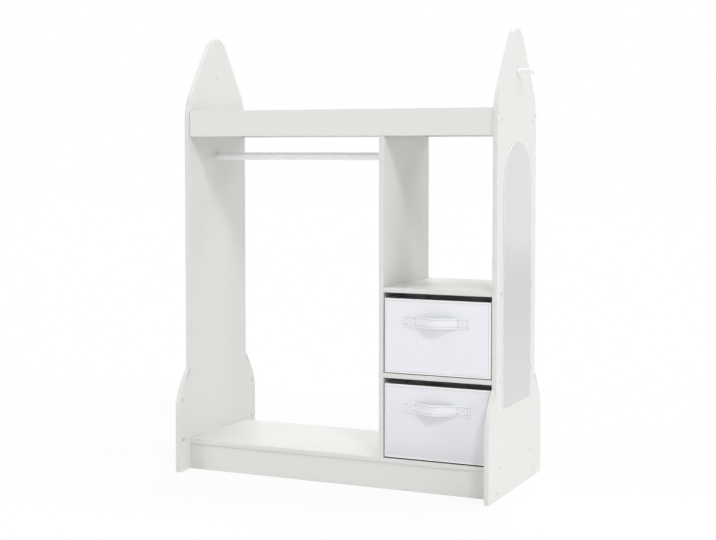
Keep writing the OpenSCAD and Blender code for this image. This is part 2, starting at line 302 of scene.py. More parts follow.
def steelSurface(web, values):
    across, up, _ = web.parts(web.attribute("fastenerPlace"))
    stain = web.noise(web.place(), *values["stain"])
    rings = web.ripple(web.distance(across, up), values["ringPitch"])
    return web.solid(values, web.dimmed(values, stain), values["gloss"] + stain * values["stainGloss"], rings)


# the mirror's sawn and polished edge, where the clear acrylic shows grey over its silvering
mirrorEdgeFinish = {"colour": (0.86, 0.86, 0.86), "dark": 1.15, "gloss": 0.25, "grainGloss": 0.15,
                    "stretch": (0.1, 1, 1), "grain": (1500.0, 2.0), "relief": (0.03 * mm, 0.5),
                    "sockets": {"Coat Weight": 0.5}}
# die-cast zinc, nickel plated: pale and satiny, slightly grained from the mould
zincFinish = {"colour": (0.84, 0.84, 0.85), "dark": 0.85, "gloss": 0.34, "grainGloss": 0.15,
              "stretch": (1, 1, 1), "grain": (1800.0, 3.0, 0.6), "stain": (220.0, 3.0),
              "relief": (0.05 * mm, 0.6), "sockets": {"Metallic": 1.0}}
# pressed cardboard: grey-brown pulp with flecks
cardFinish = {"colour": (0.42, 0.385, 0.33), "dark": 0.85, "gloss": 0.9, "grainGloss": 0.0,
              "stretch": (1, 1, 1), "grain": (400.0, 4.0, 0.6), "relief": (0.1 * mm, 0.5),
              "fleck": (900.0, 1.0), "fleckRange": (0.68, 0.75), "fleckColour": (0.2, 0.17, 0.13),
              "fleckShare": 1.0}
# beech dowel: growth rings along the grain with short dark rays
beechFinish = {"colour": (0.66, 0.47, 0.29), "dark": 0.8, "gloss": 0.6, "grainGloss": 0.0,
               "stretch": (0.08, 1, 1), "grain": (700.0, 4.0), "relief": (0.1 * mm, 0.5),
               "fleck": (1400.0, 1.0), "fleckRange": (0.62, 0.7), "fleckColour": (0.4, 0.25, 0.14),
               "fleckShare": 0.5}


def grainySurface(web, values):
    # grain shows in the colour, the gloss and the relief, with a stain or flecks over it
    place = web.place()
    grain = web.noise(web.stretched(place, values["stretch"]), *values["grain"])
    colour = web.dimmed(values, web.noise(place, *values["stain"]) if "stain" in values else grain)
    if "fleck" in values:
        fleck = web.smooth(web.noise(place, *values["fleck"]), *values["fleckRange"])
        colour = web.colours(colour, values["fleckColour"], fleck * values["fleckShare"])
    return web.solid(values, colour, values["gloss"] + grain * values["grainGloss"], grain)


# spun-bonded cloth: fibres lying every way, pressed together in a diamond grid of small dots.
# cloth finishes read the piece's own flat coordinates, in metres
bondedCloth = {
    "dark": 0.9,
    "dotPitch": 1.1 * mm,
    "dotRound": (0.16, 0.3),
    "dotShare": 0.5,
    "fibres": ((0.5, 0.12, 5200.0), (-0.9, 0.1, 4600.0)),  # turn, stretch and scale
    "fibreShare": 0.5,
    "relief": (0.12 * mm, 0.45),
    "cloud": (70.0, 4.0, 0.6),
    "gloss": 0.82,
    "dotGloss": 0.25,
    "sockets": {"Sheen Weight": 0.08, "Specular IOR Level": 0.3},
}
fabricFinish = {**bondedCloth, "colour": (0.925, 0.935, 0.978), "dark": 0.93}
liningFinish = {**bondedCloth, "colour": (0.92, 0.925, 0.94)}
# near-black cloth on the bins' undersides, whose edge shows under the walls: painted shadow for the dark gap
# beneath each bin
shadowBottomFinish = {**bondedCloth, "colour": (0.018, 0.018, 0.019)}
# darker cloth for the seam line just inside the bound edges: painted shade in the groove there
seamShadeFinish = {**bondedCloth, "colour": (0.83, 0.84, 0.87)}
# the lower bin's cloth is painted darker towards its foot, as painted shade: metres up, and how much of its
# colour it keeps there
shadedFinish = {**fabricFinish, "grey": ((0.082, 0.84), (0.13, 0.94), (0.26, 0.98))}


def bondedSurface(web, values):
    flat = web.attribute("clothPlace")
    x, y, _ = web.parts(web.divided(flat, values["dotPitch"]))
    right, left = web.maths("FRACT", x + y) - 0.5, web.maths("FRACT", x - y) - 0.5
    dot = 1 - web.smooth(web.distance(right, left), *values["dotRound"])
    fibre = web.maths("MAXIMUM", *[web.noise(web.stretched(flat, (1, thin, 1), turn), scale)
                                   for turn, thin, scale in values["fibres"]])
    pressed = [c * values["dark"] for c in values["colour"]]
    colour = web.dimmed(values, web.noise(flat, *values["cloud"]))
    colour = web.colours(colour, pressed, dot * values["dotShare"])
    # painted shade: the cloth's colour darkens towards the foot, by height
    if "grey" in values:
        up = web.parts(web.place())[2]
        (foot, least), (bend, middle), (top, most) = values["grey"]
        kept = least + (middle - least) * web.ramp(up, foot, bend) + (most - middle) * web.ramp(up, bend, top)
        colour = web.colours((0, 0, 0), colour, kept)
    relief = fibre * values["fibreShare"] - dot
    return web.solid(values, colour, values["gloss"] - dot * values["dotGloss"], relief)


# woven tape round the bins' edges: plain weave with its warp along the tape
tapeFinish = {"colour": (0.98, 0.985, 0.995), "dark": 0.92, "pitch": 0.55 * mm, "gapShare": 0.4,
              "slub": (160.0, 3.0, 0.6), "slubShare": 0.2, "gloss": 0.7, "slubGloss": 0.15,
              "relief": (0.12 * mm, 0.5), "sockets": {"Sheen Weight": 0.08, "Specular IOR Level": 0.3}}


def wovenSurface(web, values):
    flat = web.attribute("clothPlace")
    x, y, _ = web.parts(web.divided(flat, values["pitch"]))
    warp, weft = [web.maths("SINE", web.maths("FRACT", way) * math.pi) for way in (x, y)]
    over = web.maths("COSINE", (y + web.maths("FLOOR", x)) * math.pi) * 0.5 + 0.5
    under = 0.5 - web.maths("COSINE", (x + web.maths("FLOOR", y)) * math.pi) * 0.5
    strand = web.maths("MAXIMUM", warp * over, weft * under)
    slub = web.noise(flat, *values["slub"])
    gaps = (1 - strand) * values["gapShare"] + slub * values["slubShare"]
    return web.solid(values, web.dimmed(values, gaps), values["gloss"] + slub * values["slubGloss"], strand)


# sewing thread: two plies twisted round each other
threadFinish = {"colour": (0.54, 0.55, 0.58), "dark": 0.8, "twist": 0.5 * mm, "gloss": 0.6,
                "relief": (0.1 * mm, 0.5)}


def threadSurface(web, values):
    x, y, z = web.parts(web.place())
    ply = web.ripple(x + y + z, values["twist"])
    return web.solid(values, web.dimmed(values, ply), values["gloss"], ply)


# double-sided foam tape: open cells
foamFinish = {"colour": (0.16, 0.16, 0.165), "dark": 0.5, "cellScale": 2500.0, "gloss": 0.85,
              "relief": (0.1 * mm, 0.6)}


def foamSurface(web, values):
    cell = web.node("ShaderNodeTexVoronoi", {}, {"Vector": web.place(), "Scale": values["cellScale"]})
    return web.solid(values, web.dimmed(values, cell), values["gloss"], cell)


board = finish("whiteBoard", boardSurface, boardFinish)
paint = finish("whitePaint", paintSurface, paintFinish)
mirrorFace = finish("mirrorFace", mirrorSurface, mirrorFinish)
mirrorEdge = finish("mirrorEdge", grainySurface, mirrorEdgeFinish)
steel = finish("platedSteel", steelSurface, steelFinish)
zinc = finish("castZinc", grainySurface, zincFinish)
fabric = finish("whiteFabric", bondedSurface, fabricFinish)
shadedFabric = finish("greyedFabric", bondedSurface, shadedFinish)
lining = finish("binLining", bondedSurface, liningFinish)
shadowBottomCloth = finish("shadowBottomCloth", bondedSurface, shadowBottomFinish)
seamShadeCloth = finish("seamShadeCloth", bondedSurface, seamShadeFinish)
edgeTape = finish("bindingTape", wovenSurface, tapeFinish)
thread = finish("sewingThread", threadSurface, threadFinish)
card = finish("greyCard", grainySurface, cardFinish)
beech = finish("beechWood", grainySurface, beechFinish)
foam = finish("foamTape", foamSurface, foamFinish)
print("finishes made")


def keep(node, mesh, body="cabinet", smoothAngle=32):
    # links a finished mesh as the piece that takes a node's place and rides on its body
    mesh.shade_smooth()
    mesh.set_sharp_from_angle(angle=math.radians(smoothAngle))
    piece = bpy.data.objects.new(node + ".piece", mesh)
    scene.collection.objects.link(piece)
    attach(piece, body)
    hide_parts(node)


def written(name, shape, materials):
    mesh = bpy.data.meshes.new(name)
    shape.to_mesh(mesh)
    shape.free()
    for material in materials:
        mesh.materials.append(material)
    return mesh


def meshFrom(name, shape, materials):
    bmesh.ops.remove_doubles(shape, verts=shape.verts, dist=1e-6)
    bmesh.ops.recalc_face_normals(shape, faces=shape.faces)
    return written(name, shape, materials)


def together(name, meshes):
    # one mesh out of several, with their materials kept
    materials = []
    shape = bmesh.new()
    for mesh in meshes:
        places = []
        for material in mesh.materials:
            if material not in materials:
                materials.append(material)
            places.append(materials.index(material))
        for face in mesh.polygons:
            face.material_index = places[face.material_index]
        shape.from_mesh(mesh)
    return written(name, shape, materials)


def arc(centre, radius, start, stop, steps):
    # points on a circle, angles in degrees
    angles = [math.radians(start + (stop - start) * i / steps) for i in range(steps + 1)]
    return [(centre[0] + radius * math.cos(a), centre[1] + radius * math.sin(a)) for a in angles]


def insetOutline(points, amount):
    # moves each side of a counter-clockwise outline inwards by an amount
    moved = []
    for i, here in enumerate(points):
        before = Vector(here) - Vector(points[i - 1])
        after = Vector(points[(i + 1) % len(points)]) - Vector(here)
        inBefore = Vector((-before.y, before.x)).normalized()
        inAfter = Vector((-after.y, after.x)).normalized()
        moved.append(Vector(here) + (inBefore + inAfter) * (amount / (1 + inBefore.dot(inAfter))))
    return moved


def bandLoops(shape, rings):
    # joins equal rings of vertices with quads, and returns the quads of each pair of rings
    bands = []
    for lower, upper in zip(rings, rings[1:]):
        ends = [(i, (i + 1) % len(lower)) for i in range(len(lower))]
        bands.append([shape.faces.new((lower[i], lower[j], upper[j], upper[i])) for i, j in ends])
    return bands


def loopEdges(shape, loop):
    pairs = zip(loop, loop[1:] + loop[:1])
    return [shape.edges.get(pair) or shape.edges.new(pair) for pair in pairs]


def otherAxes(across):
    # the two axes that a board lies in, from the one of its thickness
    return [i for i in range(3) if i != "xyz".index(across)]


plateMake = {"round": 0.7 * mm, "roundSteps": 3, "hold": 0.4 * mm, "margin": 4 * mm, "holeSides": 28}


def plate(outline, across, low, high, cups=(), rounding=None):
    # a flat board with softened edges. across is the axis of its thickness; a cup is
    # (a, b, face, [(radius, depth), ...]), a round recess in the low (-1) or high (1) face
    make = plateMake
    r = rounding or make["round"]
    shape = bmesh.new()
    edge = shape.verts.layers.float.new("edgeDistance")
    flat = shape.loops.layers.uv.new("clothPlace")

    def ring(points, t, distance):
        made = []
        for a, b in points:
            at = {"x": (t, a, b), "y": (a, t, b), "z": (a, b, t)}[across]
            vertex = shape.verts.new(at)
            vertex[edge] = distance
            made.append(vertex)
        return made

    steps = [math.radians(90 * i / make["roundSteps"]) for i in range(make["roundSteps"] + 1)]
    profile = [(make["margin"], 0), (r + make["hold"], 0)]
    profile += [(r * (1 - math.sin(a)), r * (1 - math.cos(a))) for a in steps]
    sides = [(inset, high - sink) for inset, sink in profile]
    sides += [(inset, low + sink) for inset, sink in reversed(profile)]
    rings = [ring(insetOutline(outline, inset), t, inset) for inset, t in sides]
    bandLoops(shape, rings)
    for face, outer in ((1, rings[0]), (-1, rings[-1])):
        edges = loopEdges(shape, outer)
        top = high if face > 0 else low
        for a, b, side, cup in cups:
            if side != face:
                continue
            turns = []
            for radius, depth in cup:
                circle = arc((a, b), radius, 0, 360, make["holeSides"])[:-1]
                turns.append(ring(circle, top - face * depth, make["margin"]))
            bandLoops(shape, turns)
            shape.faces.new(turns[-1])
            edges += loopEdges(shape, turns[0])
        bmesh.ops.triangle_fill(shape, use_beauty=True, use_dissolve=False, edges=edges)
    a, b = otherAxes(across)
    for face in shape.faces:
        for corner in face.loops:
            corner[flat].uv = (corner.vert.co[a], corner.vert.co[b])
    return shape


def boxOf(node):
    low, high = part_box(node)
    return Vector(low), Vector(high)


def middleOf(node):
    low, high = boxOf(node)
    return (low + high) / 2


# main sizes, from the frame
rightLow, rightHigh = boxOf("right_side_panel")
dividerLow, dividerHigh = boxOf("divider_panel")
railLow, railHigh = boxOf("rear_top_rail")
outerX, innerX = rightHigh.x, rightLow.x
sideY = rightHigh.y
rodZ, pegZ = middleOf("hanging_rod").z, middleOf("right_coat_peg").z

# countersunk screws: their sizes, where they go, and the recess that each leaves in a board
screwMake = {
    "headRadius": 4.8 * mm,
    "headHeight": 2.4 * mm,
    "headSides": 36,
    "shankRadius": 2 * mm,
    "shankSides": 20,
    "length": 40 * mm,
    "tipLength": 5 * mm,
    "tipRadius": 0.3 * mm,
    "sink": 0.3 * mm,
    "slotLength": 4.6 * mm,
    "slotWidth": 1.0 * mm,
    "slotDepth": 1.3 * mm,
}
screwPlaces = {
    "shelfY": 118 * mm,
    "railDrop": 13 * mm,
    "kickHeight": 16 * mm,
    "longJointY": 90 * mm,
    "plugDrop": 48 * mm,
    "pegLength": 30 * mm,
    "play": 0.1 * mm,
    "rimWidth": 0.25 * mm,
    "rimDepth": 0.2 * mm,
    "holeDepth": 4 * mm,
}
rimRound = screwMake["headRadius"] + screwPlaces["play"]
shankRound = screwMake["shankRadius"] + screwPlaces["play"]
screwCup = [
    (rimRound + screwPlaces["rimWidth"], 0),
    (rimRound, screwPlaces["rimDepth"]),
    (rimRound, screwMake["sink"]),
    (shankRound, screwMake["sink"] + screwMake["headHeight"]),
    (shankRound, screwPlaces["holeDepth"]),
]


def spot(x, y, z, inX=0, inY=0, inZ=0):
    # where a screw's head lies, and its direction into the wood
    return Vector((x, y, z)), Vector((inX, inY, inZ))


def sideSpots(side, y, z):
    # two screws through a side panel, one near each edge
    return [spot(side * outerX, s * y, z, -side) for s in (-1, 1)]


def shelfSpots(side, *shelves):
    return [each for shelf in shelves for each in sideSpots(side, screwPlaces["shelfY"], middleOf(shelf).z)]


def frameSpots(side):
    railY = middleOf("rear_top_rail").y
    heights = (railHigh.z - screwPlaces["railDrop"], screwPlaces["kickHeight"])
    rails = [each for z in heights for each in sideSpots(side, railY, z)]
    return shelfSpots(side, "base_board", "top_shelf") + rails


def endSpots(z, way):
    # two screws through a long board into the divider's end
    return [spot(dividerX, s * screwPlaces["longJointY"], z, inZ=way) for s in (-1, 1)]


dividerX = middleOf("divider_panel").x
plugZ = railHigh.z - screwPlaces["plugDrop"]
shortShelves = ("bin_shelf", "cubby_shelf")
screwSpots = {
    "left_side_screws": frameSpots(-1),
    "right_side_screws": frameSpots(1) + shelfSpots(1, *shortShelves),
    "divider_screws": [spot(dividerLow.x, at.y, at.z, 1) for at, _ in shelfSpots(1, *shortShelves)],
    "divider_end_screws": endSpots(boxOf("top_shelf")[1].z, -1) + endSpots(boxOf("base_board")[0].z, 1),
    "rail_screws": [spot(dividerX, s * railHigh.y, plugZ, inY=-s) for s in (-1, 1)],
    "rod_screws": [spot(-outerX, 0, rodZ, 1), spot(dividerHigh.x, 0, rodZ, -1)],
    "peg_screws": [spot(s * innerX, 0, pegZ, s) for s in (-1, 1)],
}


def cupsIn(low, high, across):
    # the screw recesses that open in the two faces of a board
    cups = []
    index, (a, b) = "xyz".index(across), otherAxes(across)
    for at, inward in [each for spots in screwSpots.values() for each in spots]:
        for face, level in ((-1, low[index]), (1, high[index])):
            inside = all(low[i] < at[i] < high[i] for i in (a, b))
            if inside and abs(at[index] - level) < 1e-5 and inward[index] * face < -0.5:
                cups.append((at[a], at[b], face, screwCup))
    return cups


def rectangle(low, high, across):
    a, b = otherAxes(across)
    return [(low[a], low[b]), (high[a], low[b]), (high[a], high[b]), (low[a], high[b])]


def boardPiece(node, outline=None, cups=()):
    # a board across its frame box's thinnest side: a full rectangle, unless it has an outline
    low, high = boxOf(node)
    index = min(range(3), key=lambda i: high[i] - low[i])
    across = "xyz"[index]
    outline = outline or rectangle(low, high, across)
    shape = plate(outline, across, low[index], high[index], [*cupsIn(low, high, across), *cups])
    keep(node, meshFrom(node, shape, [board]))


for node in ("base_board", "front_kickboard", "rear_kickboard", "bin_shelf", "cubby_shelf", "top_shelf",
             "front_top_rail", "rear_top_rail"):
    boardPiece(node)
print("shelves, rails and kickboards made")

# the pointed side panels: upright edges, rounded shoulders, straight slopes and a round tip
panelMake = {"shoulderHeight": 951 * mm, "shoulderRadius": 130 * mm, "slope": 34.4, "arcSteps": 14,
             "tipSteps": 11}


def shoulder(make, edge, corner):
    # rounds the corner where an upright edge meets a slope
    radius = make["shoulderRadius"]
    foot = corner - radius * math.tan(math.radians(make["slope"]) / 2)
    return arc((edge - radius, foot), radius, 0, make["slope"], make["arcSteps"])


def sideOutline():
    slope = math.radians(panelMake["slope"])
    apex = panelMake["shoulderHeight"] + sideY / math.tan(slope)
    radius = (apex - rightHigh.z) / (1 / math.sin(slope) - 1)
    tip = arc((0, rightHigh.z - radius), radius, panelMake["slope"], 90, panelMake["tipSteps"])
    right = [(sideY, 0)] + shoulder(panelMake, sideY, panelMake["shoulderHeight"]) + tip
    return right + [(-a, b) for a, b in reversed(right[:-1])]


# the foot fins: a short ledge, a slope, a rounded shoulder and an upright edge
finMake = {"ledge": 4 * mm, "slope": 36.0, "shoulderRadius": 115 * mm, "arcSteps": 12}
camMake = {
    "radius": 5.9 * mm,
    "height": 9 * mm,
    "sides": 40,
    "rim": 0.9 * mm,
    "dish": 0.4 * mm,
    "slotLength": 6.2 * mm,
    "slotWidth": 1.5 * mm,
    "slotDepth": 2.4 * mm,
    "mouth": 2.0 * mm,
    "mouthIn": 0.6,  # the mouth's middle, as a share of the radius
    "mouthSides": 20,
}
camPlaces = {"reach": 34 * mm, "heights": (82 * mm, 186 * mm), "play": 0.1 * mm, "ease": 0.2 * mm}


def footFin(node, side, s):
    low, high = boxOf(node)
    width, height, ledge = high.y - low.y, high.z, finMake["ledge"]
    corner = height - (width - ledge) / math.tan(math.radians(finMake["slope"]))
    outline = [(0, 0), (width, 0)] + shoulder(finMake, width, corner) + [(ledge, height), (0, height)]
    outline = [(s * (sideY + a), b) for a, b in outline][::s]
    hole, ease = camMake["radius"] + camPlaces["play"], camPlaces["ease"]
    camCup = [(hole + ease, 0), (hole, ease), (hole, camMake["height"] + camPlaces["play"])]
    camY = s * (sideY + camPlaces["reach"])
    boardPiece(node, outline, [(camY, z, -side, camCup) for z in camPlaces["heights"]])


sides = (("left", -1), ("right", 1))
for sideName, _ in sides:
    boardPiece(sideName + "_side_panel", sideOutline())
for sideName, side in sides:
    footFin(sideName + "_front_fin", side, -1)
    footFin(sideName + "_rear_fin", side, 1)

# the divider, cut away at its upper corners for the two rails
notched = [(-sideY, dividerLow.z), (sideY, dividerLow.z), (sideY, railLow.z), (railLow.y, railLow.z),
           (railLow.y, dividerHigh.z), (-railLow.y, dividerHigh.z), (-railLow.y, railLow.z),
           (-sideY, railLow.z)]
boardPiece("divider_panel", notched)
print("side panels, fins and divider made")

# hanging rod and coat pegs, turned from wood: how far both ends are eased, the steps of the
# tip's ease, how far the shaft stops short of the tip, and how much slimmer its waist is
rodMake = {"sides": 48, "foot": 0.6 * mm, "tip": 0.6 * mm, "tipSteps": 4, "short": 0, "waist": 0, "rings": 12}
pegMake = {**rodMake, "foot": 0.4 * mm, "tip": 3 * mm, "tipSteps": 8, "short": 3 * mm, "waist": 0.25 * mm,
           "rings": 14}


def easedEnd(radius, ease, steps=4):
    # a rounded end as (distance from the end, radius), from the flat outwards
    angles = [math.radians(90 * i / steps) for i in range(steps + 1)]
    return [(ease * (1 - math.sin(a)), radius - ease * (1 - math.cos(a))) for a in reversed(angles)]


def turned(node, make, direction):
    # spins a profile about an axis along x, from the foot outwards
    low, high = boxOf(node)
    z, length, radius = middleOf(node).z, high.x - low.x, (high.z - low.z) / 2
    profile = easedEnd(radius, make["foot"])
    for t in [i / make["rings"] for i in range(1, make["rings"])]:
        profile.append(((length - make["short"]) * t, radius - make["waist"] * math.sin(math.pi * t)))
    profile += [(length - along, r) for along, r in reversed(easedEnd(radius, make["tip"], make["tipSteps"]))]
    shape = bmesh.new()
    rings = []
    for along, ringRadius in profile:
        x = (low.x if direction > 0 else high.x) + direction * along
        circle = arc((0, z), ringRadius, 0, 360, make["sides"])[:-1]
        rings.append([shape.verts.new((x, a, b)) for a, b in circle])
    bandLoops(shape, rings)
    shape.faces.new(rings[0])
    shape.faces.new(rings[-1])
    keep(node, meshFrom(node, shape, [paint]))


turned("hanging_rod", rodMake, 1)
turned("left_coat_peg", pegMake, -1)
turned("right_coat_peg", pegMake, 1)
print("rod and pegs made")

mirrorMake = {"arcSteps": 56, "polish": 0.35 * mm, "sealIn": 0.2 * mm, "sealWidth": 2 * mm}


def archedMirror():
    low, high = boxOf("arched_mirror")
    radius = (high.y - low.y) / 2
    arch = arc((0, high.z - radius), radius, 0, 180, mirrorMake["arcSteps"])
    outline = [(-radius, low.z), (radius, low.z)] + arch
    shape = plate(outline, "x", low.x, high.x, rounding=mirrorMake["polish"])
    for face in shape.faces:
        face.material_index = 0 if abs(face.calc_center_median().x - high.x) < 1e-6 else 1
    sheet = meshFrom("arched_mirror", shape, [mirrorFace, mirrorEdge])
    # a pale bead of sealant closes the gap that the tape leaves behind the sheet's edge
    shape = bmesh.new()
    outer = insetOutline(outline, mirrorMake["sealIn"])
    inner = insetOutline(outline, mirrorMake["sealIn"] + mirrorMake["sealWidth"])
    rings = [[shape.verts.new((x, y, z)) for y, z in line]
             for line, x in ((outer, outerX), (outer, low.x), (inner, low.x), (inner, outerX))]
    bandLoops(shape, rings + [rings[0]])
    seal = meshFrom("mirrorSeal", shape, [mirrorEdge])
    keep("arched_mirror", together("arched_mirror", [sheet, seal]))


archedMirror()
print("mirror made")


def growthTree(name, make):
    # an empty geometry tree with one named input for each value of a piece
    tree = bpy.data.node_groups.new(name, "GeometryNodeTree")
    web = Web(tree)
    for way in ("INPUT", "OUTPUT"):
        tree.interface.new_socket("Geometry", in_out=way, socket_type="NodeSocketGeometry")
    kinds = {float: "Float", int: "Int", tuple: "Vector"}
    for title, value in make.items():
        kind = "NodeSocket" + kinds.get(type(value), "Material")
        tree.interface.new_socket(title, in_out="INPUT", socket_type=kind).default_value = value
    entry = web.node("NodeGroupInput").socket.node
    return web, {socket.name: Flow(web, socket) for socket in entry.outputs if socket.name}


def grownTree(web, given, geometry):
    # ends a tree: real geometry in the material that was given
    whole = web.node("GeometryNodeRealizeInstances", {}, {0: geometry})
    dressed = web.node("GeometryNodeSetMaterial", {}, {0: whole, "Material": given["material"]})
    web.node("NodeGroupOutput", {}, {0: dressed})
    return web.tree


def grown(name, start, tree, values):
    # runs a tree on a start mesh with some of its inputs changed, and returns a plain mesh
    holder = bpy.data.objects.new(name + "Start", start)
    scene.collection.objects.link(holder)
    modifier = holder.modifiers.new("growth", "NODES")
    modifier.node_group = tree
    for item in tree.interface.items_tree:
        if item.in_out == "INPUT" and item.name in values:
            modifier[item.identifier] = values[item.name]
    bpy.context.view_layer.update()
    mesh = bpy.data.meshes.new_from_object(holder.evaluated_get(bpy.context.evaluated_depsgraph_get()))
    mesh.name = name
    bpy.data.objects.remove(holder)
    return mesh


def spotMesh(name, spots):
    # loose points that carry the direction into the wood, and the direction of a mouth
    mesh = bpy.data.meshes.new(name)
    mesh.from_pydata([spot[0] for spot in spots], [], [])
    for index, title in ((1, "inward"), (2, "sideways")):
        layer = mesh.attributes.new(title, "FLOAT_VECTOR", "POINT")
        for i, spot in enumerate(spots):
            layer.data[i].vector = spot[index] if len(spot) > index else (0, 0, 1)
    return mesh


def drum(web, sides, radius, depth):
    return web.node("GeometryNodeMeshCylinder", {}, {"Vertices": sides, "Radius": radius, "Depth": depth})


def taper(web, sides, bottom, top, depth):
    sockets = {"Vertices": sides, "Radius Bottom": bottom, "Radius Top": top, "Depth": depth}
    return web.node("GeometryNodeMeshCone", {}, sockets)


def crossSlot(web, given):
    # two crossed bars that sink a slot's depth below z = 0
    length, width, depth = given["slotLength"], given["slotWidth"], given["slotDepth"] * 2
    bars = [web.node("GeometryNodeMeshCube", {}, {"Size": web.joined(x, y, depth)})
            for x, y in ((length, width), (width, length))]
    return web.node("GeometryNodeMeshBoolean", {"operation": "UNION"}, {"Mesh 2": bars})


def carved(web, whole, cutters):
    sockets = {"Mesh 1": whole, "Mesh 2": cutters}
    return web.node("GeometryNodeMeshBoolean", {"operation": "DIFFERENCE"}, sockets)


def aimed(web, axis, vector, settings=None, sockets=None):
    # a rotation that points an axis along a vector
    return web.node("FunctionNodeAlignRotationToVector", {"axis": axis, **(settings or {})},
                    {"Vector": vector, **(sockets or {})})


def instanced(web, given, points, shape, rotation, turn):
    # ends a tree with one shape on each point, turned a little further from its rotation
    turned = web.node("FunctionNodeRotateRotation", {"rotation_space": "LOCAL"},
                      {"Rotation": rotation, "Rotate By": turn})
    sockets = {"Points": points, "Instance": shape, "Rotation": turned}
    return grownTree(web, given, web.node("GeometryNodeInstanceOnPoints", {}, sockets))


def scatter(web, given, shape, turns):
    # one shape at each point, its z along the inward direction
    shape = web.kept(shape, "fastenerPlace", web.node("GeometryNodeInputPosition"))
    settings = {"data_type": "FLOAT_VECTOR"}
    inward, sideways = [web.node("GeometryNodeInputNamedAttribute", settings, {"Name": name})
                        for name in ("inward", "sideways")]
    rotation = aimed(web, "X", sideways, {"pivot_axis": "Z"}, {"Rotation": aimed(web, "Z", inward)})
    sockets = {2: 0.0, 3: turns, "Seed": given["seed"]}
    spin = web.node("FunctionNodeRandomValue", {"data_type": "FLOAT"}, sockets, 1)
    return instanced(web, given, given["Geometry"], shape, rotation, web.joined(z=spin))


def screwTree():
    web, given = growthTree("screws", {**screwMake, "seed": 0, "material": steel})
    headHeight, shank, tipLength = given["headHeight"], given["shankRadius"], given["tipLength"]
    head = carved(web, taper(web, given["headSides"], given["headRadius"], shank, headHeight),
                  [crossSlot(web, given)])
    shaftLength = given["length"] - headHeight - tipLength
    shaft = web.moved(drum(web, given["shankSides"], shank, shaftLength), z=headHeight + shaftLength * 0.5)
    tip = web.moved(taper(web, given["shankSides"], shank, given["tipRadius"], tipLength),
                    z=given["length"] - tipLength)
    whole = web.node("GeometryNodeJoinGeometry", {}, {0: [head, shaft, tip]})
    return scatter(web, given, web.moved(whole, z=given["sink"]), 2 * math.pi)


screws = screwTree()
for seed, (node, spots) in enumerate(screwSpots.items()):
    length = screwPlaces["pegLength"] if node == "peg_screws" else screwMake["length"]
    keep(node, grown(node, spotMesh(node, spots), screws, {"length": length, "seed": seed}))
print("screws made")


def camTree():
    # a cam's mouth looks sideways, at the middle of the board
    values = {**camMake, "middle": (outerX - innerX) / 2, "seed": 0, "material": zinc}
    web, given = growthTree("camLocks", values)
    radius = given["radius"]
    body = web.moved(drum(web, given["sides"], radius, given["height"]), z=given["height"] * 0.5)
    dish = drum(web, given["sides"], radius - given["rim"], given["dish"] * 2)
    mouthIn = radius * given["mouthIn"]
    mouth = web.moved(drum(web, given["mouthSides"], given["mouth"], mouthIn * 2), mouthIn, 0.0,
                      given["middle"], (0, math.pi / 2, 0))
    return scatter(web, given, carved(web, body, [dish, crossSlot(web, given), mouth]), 0.0)


camSpots = [(*spot(side * innerX, s * (sideY + camPlaces["reach"]), z, side), Vector((0, -s, 0)))
            for side in (-1, 1) for s in (-1, 1) for z in camPlaces["heights"]]
keep("fin_cam_locks", grown("fin_cam_locks", spotMesh("camSpots", camSpots), camTree(), {}))
print("cam locks made")

# fabric bins
binMake = {
    "corner": 3 * mm,  # rounding of the upright edges
    "cornerSteps": 4,
    "wall": 4 * mm,
    "layer": 0.8 * mm,
    "rimHeight": 3 * mm,
    "tapeWidth": 5 * mm,
    "tapeProud": 0.6 * mm,
    "tapeEase": 1.2 * mm,
    "tapeFoot": 0.55,  # of its full height, at the very edge
    "margin": 0.1 * mm,
    "groove": 0.5 * mm,
    "grooveWidth": 1.4 * mm,
    "seam": 1.3 * mm,  # the stitched-down line inside the bound edges, drawn in darker cloth as painted shade
    "plinth": {"upper": 1.6 * mm, "lower": 3 * mm},  # height of the bottom below the walls; the near-black band it leaves is painted shadow
    "plinthInset": 2 * mm,
    "swell": 1.3 * mm,
    "swellPower": 0.6,
    "swellFrom": 22 * mm,  # full swell and creases this far from an edge
    "creases": ((0.35 * mm, 1), (0.14 * mm, 2.7)),  # depth and how much finer
    "creaseScale": (24, 24, 17),
    "wave": 0.12 * mm,
    "waveScale": (60, 60, 30),
    "step": 4.5 * mm,
    "edgeStops": [d * mm for d in (0, 2.4, 4.4, 5, 5.5, 6.2, 8, 11)],
    "edgeEase": 0.5 * mm,
    "plinthEase": (1 * mm, 0.6 * mm),
    "hem": 4 * mm,
    "rimSeam": 2.5 * mm,
    "liningStops": (0.75, 0.5, 0.25, 0.04, 0),
    # the folded tape's section over a wall's top: in from the wall's face and down from the tape's top
    "rimProfile": [(a * mm, b * mm) for a, b in (
        (-0.25, 5.4), (-0.5, 4.9), (-0.5, 2), (-0.15, 0.8), (0.9, 0), (3.1, 0), (4.05, 0.8), (4.4, 2),
        (4.4, 4.9), (4.1, 5.4), (4.05, 2.95), (-0.05, 2.95), (-0.05, 5.4))],
    # the strap's sewn ends hold the front flat: fully up to the first distance, not at all past the second
    "strapHold": ((12 * mm, 22 * mm), (11 * mm, 21 * mm)),
    "strapDent": 0.15 * mm,
    "insertRound": 1 * mm,
    "smooth": {"cover": 40, "rim": 50, "handle": 50},  # degrees up to which folds look soft
}
